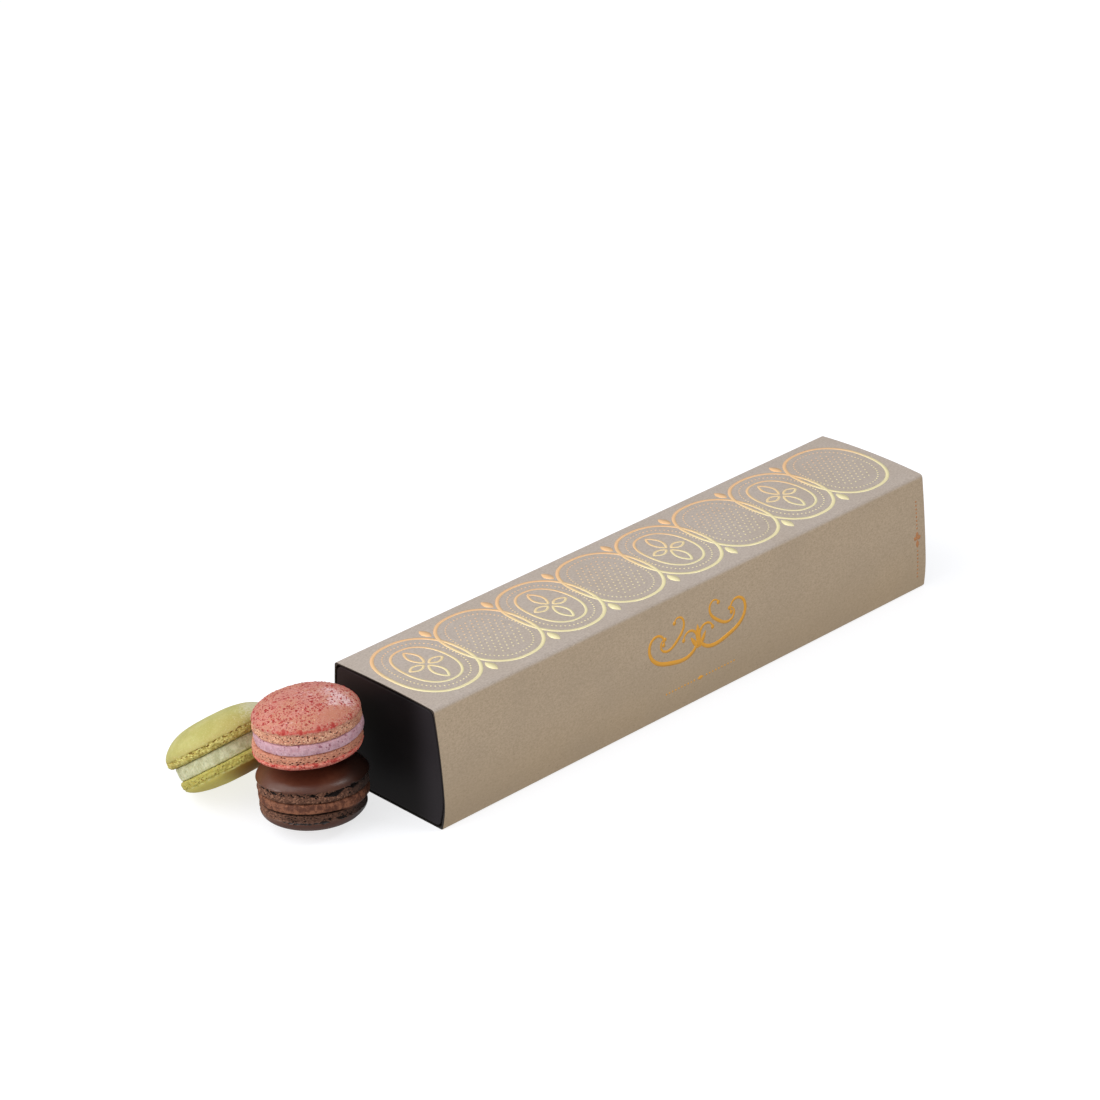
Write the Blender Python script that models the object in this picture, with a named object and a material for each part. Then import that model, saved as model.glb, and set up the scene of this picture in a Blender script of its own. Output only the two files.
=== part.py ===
"""A long kraft card box for macarons, shut, with three macarons lying at its near end.

The box is an open-ended sleeve of folded card round a black inner tray. The frame's origin is the
centre of the sleeve's underside. +X runs along the sleeve, away from the end where the macarons
lie, +Y to the back and +Z up. Lengths are in metres.
"""
import math
import random

import bmesh
import bpy
from mathutils import Matrix, Vector

SLEEVE_LENGTH = 0.265
SLEEVE_TOP_WIDTH = 0.0569
SLEEVE_LOW_WIDTH = 0.0580
SLEEVE_HEIGHT = 0.0509
CARD = 0.0006
FOLD_RADIUS = 0.0016
TOP_BOW = 0.0006
NEAR_SIDE_BOW = 0.0021
FAR_SIDE_BOW = 0.0011
SIDE_BOW_MIDDLE = 0.27

TRAY_GAP = 0.0004
TRAY_CORNER = 0.0021
TRAY_RIM = 0.0004

RING_STEPS = 56
FILLING_STEPS = 48
DOME_STEPS = 8
SEAM_GAP = 0.0003
SHARP_ANGLE = math.radians(40)

KRAFT = (0.36, 0.29, 0.215, 1.0)
BLACK_CARD = (0.012, 0.011, 0.012, 1.0)

MACARONS = {
    "brown": {
        "seed": 11,
        "centre": (-0.1593, 0.0126, 0.01335),
        "tilt": 6.7,
        "towards": 54.3,
        "filling": {"thickness": 0.0047, "radius": 0.0204, "bulge": 0.0004},
        "top": {"radius": 0.0212, "foot": 0.0042, "dome": 0.0073,
                "flatness": 2.2, "fullness": 1.85, "shift": (0.0, 0.0)},
        "bottom": {"radius": 0.0203, "foot": 0.0025, "dome": 0.0083,
                   "flatness": 2.2, "fullness": 1.85, "shift": (-0.0003, 0.0003)},
        "shell_colour": (0.075, 0.030, 0.018, 1.0),
        "filling_colour": (0.13, 0.052, 0.030, 1.0),
    },
    "pink": {
        "seed": 23,
        "centre": (-0.1591, 0.0130, 0.0394),
        "tilt": 5.4,
        "towards": 89.4,
        "filling": {"thickness": 0.0046, "radius": 0.0203, "bulge": 0.0004},
        "top": {"radius": 0.0207, "foot": 0.0039, "dome": 0.0075,
                "flatness": 2.3, "fullness": 1.8, "shift": (0.0, 0.0)},
        "bottom": {"radius": 0.0208, "foot": 0.0035, "dome": 0.0059,
                   "flatness": 2.2, "fullness": 1.85, "shift": (-0.0007, 0.0007)},
        "shell_colour": (0.62, 0.20, 0.16, 1.0),
        "filling_colour": (0.58, 0.34, 0.46, 1.0),
    },
    "green": {
        "seed": 37,
        "centre": (-0.1678, 0.0537, 0.0174),
        "tilt": 34.6,
        "towards": 94.2,
        "filling": {"thickness": 0.0058, "radius": 0.0201, "bulge": 0.0002},
        "top": {"radius": 0.0225, "foot": 0.0029, "dome": 0.0090,
                "flatness": 3.0, "fullness": 1.5, "shift": (0.0, 0.0)},
        "bottom": {"radius": 0.0219, "foot": 0.0030, "dome": 0.0052,
                   "flatness": 2.6, "fullness": 1.6, "shift": (0.0009, -0.0007)},
        "shell_colour": (0.45, 0.40, 0.10, 1.0),
        "filling_colour": (0.62, 0.60, 0.40, 1.0),
    },
}

FOOT_INSET = 0.0001
FOOT_SKIRT = ((0.0, 0.0005, 0.5), (0.12, 0.0, 1.0), (0.5, 0.00015, 1.0), (0.92, 0.0006, 0.6))
DOME_RIM = 0.0004
FOOT_RELIEF = 0.00042
LIP_SHARE = 0.4
FOOT_WAVES = (7, 11, 13, 17, 19)
OUT_OF_ROUND = 0.010
UNEVEN_DOME = 0.035

FILLING_EDGE = 0.0006
FILLING_WAVES = (2, 3, 5, 7)
FILLING_SWELL = 0.012


def clear_scene():
    for item in list(bpy.data.objects):
        bpy.data.objects.remove(item, do_unlink=True)


def material(name, colour, roughness, metallic=0.0):
    made = bpy.data.materials.new(name)
    made.use_nodes = True
    shader = made.node_tree.nodes["Principled BSDF"]
    shader.inputs["Base Color"].default_value = colour
    shader.inputs["Roughness"].default_value = roughness
    shader.inputs["Metallic"].default_value = metallic
    made.diffuse_color = colour
    return made


def add_object(name, bm, finish):
    """Turns a bmesh into an object of that name, its faces pointing out."""
    bmesh.ops.recalc_face_normals(bm, faces=bm.faces)
    mesh = bpy.data.meshes.new(name)
    bm.to_mesh(mesh)
    bm.free()
    mesh.materials.append(finish)
    mesh.shade_smooth()
    mesh.set_sharp_from_angle(angle=SHARP_ANGLE)
    made = bpy.data.objects.new(name, mesh)
    bpy.context.collection.objects.link(made)
    return made


def corner(centre_y, centre_z, radius, start, steps=4):
    """Points of a quarter circle that turns a fold, anticlockwise from the start angle in degrees."""
    points = []
    for i in range(steps + 1):
        angle = math.radians(start + 90 * i / steps)
        points.append((centre_y + radius * math.cos(angle), centre_z + radius * math.sin(angle)))
    return points


def bow(share, rise, middle=0.5):
    """How far a panel bows out at a share of its width: two half parabolas that meet at the middle."""
    span = middle if share < middle else 1 - middle
    return rise * (1 - ((share - middle) / span) ** 2)


def side_places(top_width, low_width, low, high, radius, rise, steps):
    """Y and Z of the side panel's points between its folds, from below: leaning, and bowed out."""
    places = []
    for i in range(1, steps):
        share = i / steps
        half = (low_width + (top_width - low_width) * share) / 2
        z = low + radius + (high - low - 2 * radius) * share
        places.append((half + bow(share, rise, SIDE_BOW_MIDDLE), z))
    return places


def section(inset, radius, side_rise, top_rise, steps=8):
    """Outline of the box in Y and Z, drawn in by an inset: flat below, sides and top bowed out."""
    top_width, low_width = SLEEVE_TOP_WIDTH - 2 * inset, SLEEVE_LOW_WIDTH - 2 * inset
    low, high = inset, SLEEVE_HEIGHT - inset
    side = side_places(top_width, low_width, low, high, radius, side_rise, steps)
    outline = corner(low_width / 2 - radius, low + radius, radius, -90)
    outline += side
    outline += corner(top_width / 2 - radius, high - radius, radius, 0)
    for i in range(1, steps):
        share = i / steps
        y = top_width / 2 - radius - (top_width - 2 * radius) * share
        outline.append((y, high + bow(share, top_rise)))
    outline += corner(-top_width / 2 + radius, high - radius, radius, 90)
    outline += [(-y, z) for y, z in reversed(side)]
    outline += corner(-low_width / 2 + radius, low + radius, radius, 180)
    return outline


def ring_at(bm, outline, x):
    return [bm.verts.new((x, y, z)) for y, z in outline]


def band(bm, ring, other):
    """A band of four-sided faces between two rings with the same number of points."""
    for i in range(len(ring)):
        j = (i + 1) % len(ring)
        bm.faces.new((ring[i], ring[j], other[j], other[i]))


def sleeve(finish):
    """A tube of card: an outer and an inner wall along the sleeve, joined across each cut end."""
    bm = bmesh.new()
    half = SLEEVE_LENGTH / 2
    corners = ((0.0, -half, NEAR_SIDE_BOW), (0.0, half, FAR_SIDE_BOW),
               (CARD, half, FAR_SIDE_BOW), (CARD, -half, NEAR_SIDE_BOW))
    rings = [ring_at(bm, section(inset, FOLD_RADIUS - inset, rise, TOP_BOW), x)
             for inset, x, rise in corners]
    for i, ring in enumerate(rings):
        band(bm, ring, rings[(i + 1) % len(rings)])
    return add_object("sleeve", bm, finish)


def tray(finish):
    """The shut inner tray, solid, its sides following the sleeve's and its end panels' rims rounded."""
    bm = bmesh.new()
    inset = CARD + TRAY_GAP
    half = SLEEVE_LENGTH / 2
    near = ring_at(bm, section(inset, TRAY_CORNER, NEAR_SIDE_BOW, 0.0), -half)
    far = ring_at(bm, section(inset, TRAY_CORNER, FAR_SIDE_BOW, 0.0), half)
    band(bm, near, far)
    ends = [bm.faces.new(near), bm.faces.new(far)]
    rims = [edge for face in ends for edge in face.edges]
    bmesh.ops.bevel(bm, geom=rims, offset=TRAY_RIM, segments=2, profile=0.5, affect="EDGES")
    bmesh.ops.remove_doubles(bm, verts=bm.verts, dist=1e-6)
    return add_object("tray", bm, finish)


def waves(seed, orders):
    """A closed wavy function of an angle, from -1 to 1, with seeded phases."""
    draw = random.Random(seed)
    terms = [(order, draw.uniform(0, 2 * math.pi), draw.uniform(0.6, 1.0)) for order in orders]
    total = sum(weight for _, _, weight in terms)

    def value(angle):
        return sum(weight * math.sin(order * angle + phase) for order, phase, weight in terms) / total

    return value


def shell_profile(shell):
    """Half outline of a shell as radius, height and share of foot relief, from its flat face to its crown.

    The foot is a ruffled skirt, widest near its lower edge. The dome over it follows
    height = dome * (1 - (r / radius) ** flatness) ** (1 / fullness).
    """
    wide = shell["radius"] - FOOT_INSET
    outline = [(0.0, 0.0, 0.0), (0.55 * wide, 0.0, 0.0)]
    for share, inset, relief in FOOT_SKIRT:
        outline.append((wide - inset, share * shell["foot"], relief))
    for i in range(DOME_STEPS + 1):
        turn = math.radians(90 * i / DOME_STEPS)
        share = math.cos(turn) ** (2 / shell["flatness"]) if i < DOME_STEPS else 0.0
        rise = (1 - share ** shell["flatness"]) ** (1 / shell["fullness"])
        height = shell["foot"] + DOME_RIM + (shell["dome"] - DOME_RIM) * rise
        outline.append((shell["radius"] * share, height, 0.0))
    return outline


def spun(outline, steps):
    """Spins a half outline round the Z axis into a closed body and gives each vertex its outline row."""
    bm = bmesh.new()
    row = bm.verts.layers.int.new("row")
    verts = []
    for i, point in enumerate(outline):
        vert = bm.verts.new((point[0], 0.0, point[1]))
        vert[row] = i
        verts.append(vert)
    edges = [bm.edges.new(pair) for pair in zip(verts, verts[1:])]
    bmesh.ops.spin(bm, geom=verts + edges, cent=(0, 0, 0), axis=(0, 0, 1), angle=2 * math.pi,
                   steps=steps, use_merge=True)
    bmesh.ops.remove_doubles(bm, verts=bm.verts, dist=1e-6)
    return bm, row


def roughen(bm, row, outline, seed):
    """Makes a shell uneven: out of round, its dome higher on one side, its foot ruffled."""
    round_wave = waves(seed, (2, 3))
    dome_wave = waves(seed + 1, (1, 2))
    foot_wave = waves(seed + 2, FOOT_WAVES)
    lip_wave = waves(seed + 3, FOOT_WAVES)
    widest = max(point[0] for point in outline)
    for vert in bm.verts:
        radius = math.hypot(vert.co.x, vert.co.y)
        if radius < 1e-7:
            continue
        angle = math.atan2(vert.co.y, vert.co.x)
        relief = FOOT_RELIEF * outline[vert[row]][2]
        wider = 1 + OUT_OF_ROUND * round_wave(angle) + relief * foot_wave(angle) / radius
        taller = 1 + UNEVEN_DOME * radius / widest * dome_wave(angle)
        vert.co.x *= wider
        vert.co.y *= wider
        if outline[vert[row]][1] > 0:
            vert.co.z = vert.co.z * taller + LIP_SHARE * relief * lip_wave(angle)


def pose(spec):
    """The matrix that stands a macaron at its centre, its axis tilted and turned towards a bearing."""
    bearing = math.radians(spec["towards"])
    axis = Vector((-math.sin(bearing), math.cos(bearing), 0.0))
    tilt = Matrix.Rotation(math.radians(spec["tilt"]), 4, axis)
    return Matrix.Translation(spec["centre"]) @ tilt


def lay_down(bm):
    """Presses what would reach below the floor flat on it, as a small resting spot."""
    for vert in bm.verts:
        vert.co.z = max(vert.co.z, 0.0)
    bmesh.ops.dissolve_degenerate(bm, edges=bm.edges, dist=1e-6)


def shell(name, spec, part, finish):
    """One shell of a macaron: the top one stands on the filling, the bottom one is turned over under it."""
    outline = shell_profile(spec[part])
    bm, row = spun(outline, RING_STEPS)
    roughen(bm, row, outline, spec["seed"] + (0 if part == "top" else 5))
    shift_x, shift_y = spec[part]["shift"]
    away = spec["filling"]["thickness"] / 2
    place = Matrix.Translation((shift_x, shift_y, away))
    if part == "bottom":
        place = Matrix.Translation((shift_x, shift_y, -away)) @ Matrix.Rotation(math.pi, 4, "X")
    bmesh.ops.transform(bm, matrix=pose(spec) @ place, verts=bm.verts)
    lay_down(bm)
    return add_object(f"{name}_{part}_shell", bm, finish)


def filling(name, spec, finish):
    """The disc of filling between the shells, its side bulging a little."""
    body = spec["filling"]
    half = body["thickness"] / 2 - SEAM_GAP
    radius, bulge = body["radius"], body["bulge"]
    outline = [(0.0, -half), (0.6 * radius, -half), (radius - FILLING_EDGE, -half), (radius, -0.55 * half),
               (radius + bulge, 0.0), (radius, 0.55 * half), (radius - FILLING_EDGE, half),
               (0.6 * radius, half), (0.0, half)]
    bm, row = spun(outline, FILLING_STEPS)
    side_wave = waves(spec["seed"] + 9, FILLING_WAVES)
    for vert in bm.verts:
        swell = 1 + FILLING_SWELL * side_wave(math.atan2(vert.co.y, vert.co.x))
        vert.co.x *= swell
        vert.co.y *= swell
    bmesh.ops.transform(bm, matrix=pose(spec), verts=bm.verts)
    lay_down(bm)
    return add_object(f"{name}_filling", bm, finish)


def macaron(name, spec):
    shell_finish = material(f"{name}_shell", spec["shell_colour"], 0.6)
    filling_finish = material(f"{name}_filling", spec["filling_colour"], 0.65)
    shell(name, spec, "top", shell_finish)
    filling(name, spec, filling_finish)
    shell(name, spec, "bottom", shell_finish)


def main():
    clear_scene()
    sleeve(material("kraft_card", KRAFT, 0.75))
    tray(material("black_card", BLACK_CARD, 0.45))
    for name, spec in MACARONS.items():
        macaron(name, spec)


main()
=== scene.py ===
"""Looks of a long kraft card box with a black inner tray, and of the three macarons at its near end.

Every piece is a surface worked out as whole arrays: the box's outline carried along its length, a half
outline turned round a macaron's axis, or a thin profile carried along a printed line. Lengths are in
metres, in the frame's axes: +X along the box away from the macarons, +Y to the back, +Z up.
"""
import itertools
import math
import random
from collections import namedtuple

import bpy
import numpy as np
from mathutils import Matrix, Vector


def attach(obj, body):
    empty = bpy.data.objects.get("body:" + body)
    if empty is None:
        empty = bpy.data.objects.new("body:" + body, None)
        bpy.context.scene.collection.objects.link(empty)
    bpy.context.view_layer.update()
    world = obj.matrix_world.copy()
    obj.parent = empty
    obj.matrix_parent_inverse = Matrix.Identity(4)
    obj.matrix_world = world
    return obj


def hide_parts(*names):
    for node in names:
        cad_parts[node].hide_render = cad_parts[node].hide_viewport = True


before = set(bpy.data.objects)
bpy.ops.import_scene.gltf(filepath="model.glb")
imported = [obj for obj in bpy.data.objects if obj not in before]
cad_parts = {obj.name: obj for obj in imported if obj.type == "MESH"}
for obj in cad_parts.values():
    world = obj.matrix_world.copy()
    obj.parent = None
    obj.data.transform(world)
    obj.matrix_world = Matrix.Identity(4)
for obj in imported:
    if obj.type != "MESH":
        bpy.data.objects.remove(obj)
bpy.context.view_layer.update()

MM = 0.001

# The box, as in the part's source
SLEEVE_LENGTH = 0.265
SLEEVE_TOP_WIDTH = 0.0569
SLEEVE_LOW_WIDTH = 0.0580
SLEEVE_HEIGHT = 0.0509
CARD = 0.0006
FOLD_RADIUS = 0.0016
TOP_BOW = 0.0006
FAR_TOP_BOW = 0.0010
NEAR_SIDE_BOW = 0.0021
FAR_SIDE_BOW = 0.0011
SIDE_BOW_MIDDLE = 0.27
TRAY_GAP = 0.0004
TRAY_CORNER = 0.0034
INNER_FOLD = 0.0028
TRAY_RIM = 0.0004
CUT_EDGE = 0.00009

CORNER_STEPS = 10
SIDE_STEPS = 44
LID_STEPS = 40
SLEEVE_RINGS = 60

# The macarons, as in the part's source: how each stands, its filling, and its top and bottom shell
Shell = namedtuple("Shell", "radius foot dome flatness fullness shift")
MACARONS = {
    "brown": {"seed": 11, "centre": (-0.1593, 0.0126, 0.01335), "tilt": 6.7, "towards": 54.3,
              "thickness": 0.0047, "radius": 0.0204,
              "top": Shell(0.0212, 0.0042, 0.0073, 2.2, 1.85, (0.0, 0.0)),
              "bottom": Shell(0.0203, 0.0025, 0.0083, 2.2, 1.85, (-0.0003, 0.0003))},
    "pink": {"seed": 23, "centre": (-0.1591, 0.0130, 0.0394), "tilt": 5.4, "towards": 89.4,
             "thickness": 0.0046, "radius": 0.0203,
             "top": Shell(0.0207, 0.0039, 0.0075, 2.3, 1.8, (0.0, 0.0)),
             "bottom": Shell(0.0208, 0.0035, 0.0059, 2.2, 1.85, (-0.0007, 0.0007))},
    "green": {"seed": 37, "centre": (-0.1678, 0.0537, 0.0174), "tilt": 34.6, "towards": 94.2,
              "thickness": 0.0058, "radius": 0.0201,
              "top": Shell(0.0225, 0.0029, 0.0090, 3.0, 1.5, (0.0, 0.0)),
              "bottom": Shell(0.0219, 0.0030, 0.0052, 2.6, 1.6, (0.0009, -0.0007))},
}
NAMES = tuple(MACARONS)
DOME_RIM = 0.0004
FOOT_RELIEF = 0.00042
LIP_SHARE = 0.4
FOOT_WAVES = (7, 11, 13, 17, 19)
OUT_OF_ROUND = 0.010
UNEVEN_DOME = 0.035
FILLING_WAVES = (2, 3, 5, 7)
FILLING_SWELL = 0.012
FILLING_EDGE = 0.0006
FILLING_GRAINS = (0.0016, 0.0007, 0.0009)
# Bearings in degrees: where a filling's groove is deepest, and the right, which the box's black end darkens
GROOVE_BEARING = 195
RIGHT_BEARING = 340

# Noise that roughens the crusts: its grains, its reach at the rim, and on a dome its strength, grain and
# seed step; then the lattice that it is drawn on, its corners along an edge and its turn
RIM_GRAIN = 0.0016
RIM_REACH = 0.0007
GRIT_GRAIN = 0.0007
TEAR_GRAINS = (0.0009, 0.0008)
DOME_ROUGHNESS = ((0.00009, 0.007, 9), (0.00001, 0.0009, 11))
LATTICE = 32
CLOUD_TURN = np.array(Matrix.Rotation(0.7, 3, "X") @ Matrix.Rotation(0.9, 3, "Y"))

# Where the foot bends into the crease, how many rows of the dome torn hollows reach, and the depth at which
# a hollow's painted shade is full
CREASE_START = 0.92
TORN_ROWS = 10
DARK_DEPTH = 0.00030

COLUMNS = 760
UNDER_ROWS = 8
LIP_ROWS = 7
FOOT_ROWS = 44
CREASE_ROWS = 9
DOME_ROWS = 52
FILLING_COLUMNS = 600
FILLING_ROWS = 40
SKIRT_ROWS = UNDER_ROWS + LIP_ROWS + FOOT_ROWS
ROWS_BELOW_DOME = SKIRT_ROWS + CREASE_ROWS

# The feet: two columns for each macaron, its top and its bottom. Lumps, pits and slots: how many, and the
# smallest and largest size. Lip, inset, drawn and crease shape the outline, and the others are the strengths
# of the relief.
FEET = {
    "lumps": ((1100, 0.00022, 0.00050), (1000, 0.00022, 0.00048), (1100, 0.00022, 0.00046),
              (1100, 0.00022, 0.00046), (620, 0.00030, 0.00066), (620, 0.00030, 0.00066)),
    "pits": ((300, 0.00012, 0.00034), (340, 0.00012, 0.00032), (260, 0.00012, 0.00028),
             (300, 0.00012, 0.00028), (150, 0.00012, 0.00028), (110, 0.00012, 0.00026)),
    "slots": ((90, 0.0006, 0.0016), (26, 0.0005, 0.0012), (24, 0.0003, 0.0008), (24, 0.0003, 0.0008),
              (60, 0.0004, 0.0009), (40, 0.0004, 0.0010)),
    "lip": ((0.0010, 0.28), (0.0005, 0.15), (0.0011, 0.28), (0.0011, 0.28), (0.0020, 0.50), (0.0014, 0.36)),
    "inset": (0.0004, 0.0001, 0.0001, 0.0001, 0.0001, -0.0003),
    "drawn": (0.00036, 0.00020, 0.00012, 0.00014, 0.00004, 0.00004),
    "crease": (0.00006, 0.00005, 0.00003, 0.00003, 0.0, 0.00012),
    "swell": (0.32, 0.34, 0.28, 0.30, 0.34, 0.30),
    "grit": (0.00017, 0.00015, 0.00013, 0.00013, 0.00016, 0.00014),
    "ragged": (0.00040, 0.00030, 0.00030, 0.00030, 0.00026, 0.00030),
    "tear": (0.00060, 0.00035, 0.00015, 0.00012, 0.00026, 0.00024),
    "depth": (1.6, 1.3, 1.2, 1.2, 1.0, 1.0),
}
# Torn hollows of the feet: bearing in degrees, height, half width, half height in millimetres, slant if any
TORN = {
    "brown_top": (
        (167, 3.4, 1.0, 0.28, -0.1), (178, 3.3, 1.0, 0.28, -0.1), (187, 3.1, 1.1, 0.26),
        (197, 3.1, 1.1, 0.26), (209, 3.1, 0.9, 0.28), (218, 3.1, 0.8, 0.30), (231, 3.4, 1.4, 0.70),
        (255, 3.2, 3.4, 1.00, 0.15), (246, 2.8, 1.3, 0.50, 0.1), (279, 3.9, 3.2, 1.00, -0.1),
        (270, 4.1, 1.2, 0.60), (299, 4.0, 1.8, 0.75, 0.1), (30, 3.4, 2.0, 0.60, 0.1), (75, 3.5, 1.6, 0.50),
        (120, 3.4, 1.9, 0.50, -0.1), (330, 3.6, 2.2, 0.60, 0.1)),
    "brown_bottom": (
        (163, 3.0, 1.0, 0.38), (155, 3.2, 1.1, 0.40, 0.1), (148, 3.4, 1.4, 0.52, 0.1),
        (140, 3.3, 1.7, 0.57), (133, 3.4, 1.0, 0.46), (127, 3.1, 1.1, 0.42, 0.1),
        (118, 3.2, 2.2, 0.70, -0.05), (101, 2.6, 1.3, 0.45), (96, 2.8, 1.5, 0.60), (86, 2.5, 0.8, 0.36),
        (20, 3.0, 1.6, 0.40), (220, 3.1, 1.4, 0.40), (300, 3.0, 1.7, 0.40)),
    "pink_top": (
        (185, 3.2, 0.7, 0.30), (227, 3.2, 0.45, 0.36), (239, 2.1, 0.52, 0.42), (256, 3.2, 0.42, 0.34),
        (263, 2.1, 0.55, 0.32), (281, 3.4, 0.65, 0.32), (232, 2.6, 0.35, 0.26), (248, 2.5, 0.40, 0.28, 0.1),
        (271, 3.0, 0.45, 0.28), (205, 2.4, 0.40, 0.28), (214, 3.0, 0.38, 0.28)),
    "pink_bottom": (
        (170, 2.5, 0.60, 0.42), (171, 1.4, 0.42, 0.30), (185, 1.0, 0.40, 0.30), (154, 2.5, 0.52, 0.34),
        (148, 2.9, 0.46, 0.30, 0.2), (145, 2.4, 0.55, 0.32), (140, 2.0, 0.50, 0.30, 0.3),
        (139, 2.9, 0.48, 0.30), (136, 2.2, 0.46, 0.30), (133, 3.0, 0.45, 0.28), (128, 2.6, 0.60, 0.28),
        (120, 2.5, 0.60, 0.40), (114, 2.6, 0.42, 0.30), (108, 2.5, 0.50, 0.30), (101, 2.5, 0.65, 0.34),
        (88, 1.0, 0.60, 0.30), (94, 2.2, 0.50, 0.32)),
    "green_top": (
        (200, 2.4, 0.8, 0.26), (207, 2.7, 0.6, 0.30, 0.1), (214, 3.1, 0.9, 0.30), (226, 2.5, 0.8, 0.34),
        (234, 2.9, 0.9, 0.30, 0.1), (245, 2.6, 0.7, 0.28), (252, 2.8, 0.8, 0.28), (262, 3.1, 1.0, 0.30),
        (189, 1.9, 0.6, 0.24)),
    "green_bottom": (
        (191, 1.7, 0.5, 0.24), (183, 1.9, 0.5, 0.24), (169, 1.9, 0.7, 0.26, 0.1), (158, 1.6, 0.6, 0.24),
        (139, 1.4, 0.6, 0.24), (132, 1.2, 0.7, 0.26)),
}
# Red blots on the pink dome: bearing in degrees, distance from the axis and size in millimetres
BLOTS = ((327, 10.7, 0.8), (261, 10.7, 1.1), (269, 5.4, 0.7), (181, 16.1, 0.8), (152, 10.7, 0.8),
         (152, 18.0, 0.8), (202, 17.4, 0.7), (214, 16.3, 0.6), (177, 3.2, 0.7), (261, 20.2, 0.9),
         (207, 20.3, 0.9), (310, 20.0, 0.8), (287, 20.2, 0.7), (226, 20.3, 0.7), (245, 20.2, 0.8))
# Soft patches of the pink crust: bearing in degrees, distance and two half sizes in millimetres, weight
LOW_BLOTS = ((121, 20.6, 1.2, 1.2, 1.0), (102, 20.6, 1.0, 2.6, 0.8))
# The pale patches: partly powder, partly painted highlight
POWDER_AND_HIGHLIGHT = ((311, 13.0, 3.6, 4.6, 1.0), (337, 10.0, 2.4, 2.6, 0.8), (350, 4.0, 7.0, 8.0, 0.35),
          (303, 17.0, 2.2, 3.0, 0.8), (284, 13.0, 2.2, 2.4, 0.7), (210, 18.2, 1.8, 4.4, 0.2))
# How many crumbs lie on each pink crust
CRUMBS = {"top": 640, "bottom": 220}

# The print: medallions along the lid, with rings in shares of their size and petals by bearing, length and
# width, a scroll on the side and a dotted strip near the far end
MEDALLIONS = 8
MEDALLION_PITCH = 0.0318
MEDALLION_HALF = (0.0172, 0.0224)
MEDALLION_POWER = 2.3
DOTTED_RING = (0.78, 0.84)
INNER_RING = (0.60, 0.70)
FIELD = (0.66, 0.74)
PETALS = ((90, 0.0115, 0.0023), (-90, 0.0115, 0.0023), (0, 0.0066, 0.0019), (180, 0.0066, 0.0019))
DOT_PITCH = 0.0017
FIELD_PITCH = 0.0026
LINE = 0.0015
FINE_LINE = 0.0011
DOT = 0.00037
PROUD = 0.00004
SUNK = 0.00003
# The side's scrolls: turns, size, lean in degrees, place beside the middle and width of the line
SIDE_LINES = ((0.78, 0.0262, 14, (0.0156, 0.0), 0.0019), (0.62, 0.0150, -38, (0.0112, 0.0082), 0.0014))
SCROLL_CENTRE = (0.0015, 0.0235)
STRIP_X = 0.1276

# The camera: where it stands and how it is turned, in degrees, and its lens on a 36 mm sensor
CAMERA_PLACE = (-0.929288, -0.996803, 0.745248)
CAMERA_AZIMUTH = 41.5300
CAMERA_DOWN = 26.7276
CAMERA_ROLL = -3.0978
CAMERA_LENS = 127.957

# The studio: a floor that glows white and takes only faint, cool shadows, and the strength of the white sky
FLOOR_HALF = 4.0
FLOOR_DROP = 0.00002
FLOOR = {"Base Color": (0.42, 0.43, 0.46, 1.0), "Roughness": 0.9, "Specular IOR Level": 0.0,
         "Emission Color": (1.0, 1.0, 1.0, 1.0), "Emission Strength": 0.71}
SKY = 0.48
# The lamps: where each stands, where it aims, its size and its power
LAMPS = {"lamp_left": ((-1.25, 0.55, 1.25), (-0.1, 0.0, 0.0), 1.7, 18.0),
         "lamp_front": ((-1.15, -1.20, 1.00), (0.0, 0.0, 0.0), 2.0, 6.0),
         "lamp_right": ((0.49, -0.89, 1.42), (0.0, 0.0, 0.0), 0.4, 5.0),
         "lamp_low": ((-1.32, 0.58, 0.14), (-0.16, 0.02, 0.02), 0.4, 4.0)}

# The box's finishes: colours as they show on a screen, and the span in millimetres over which a foil's
# colour changes, a painted reflection
# The lid's tones are painted light, cooler for the light and sheen from above; low is painted shade towards
# the bottom of the side
KRAFT = {"side_dark": (186, 164, 137), "side_light": (206, 184, 157), "low": (182, 156, 120),
         "lid_dark": (177, 164, 154), "lid_light": (196, 184, 174), "cloud": (174, 156, 134),
         "speck": (112, 92, 70), "cut_low": (30, 25, 22), "cut_high": (54, 43, 34), "inside": (18, 15, 13)}
# front and top are painted reflections on the black card
BLACK_CARD = {"dark": (15, 12, 13), "light": (23, 19, 20), "front": (43, 39, 42), "top": (48, 34, 34)}
FOILS = {"lid_foil": {"back": (255, 206, 152), "front": (255, 243, 192), "span": (-14.0, 20.0)},
         "amber_foil": {"back": (246, 170, 46), "front": (250, 180, 64), "span": (-40.0, 0.0)},
         "copper_foil": {"back": (200, 132, 80), "front": (206, 142, 92), "span": (-40.0, 0.0)}}
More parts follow.
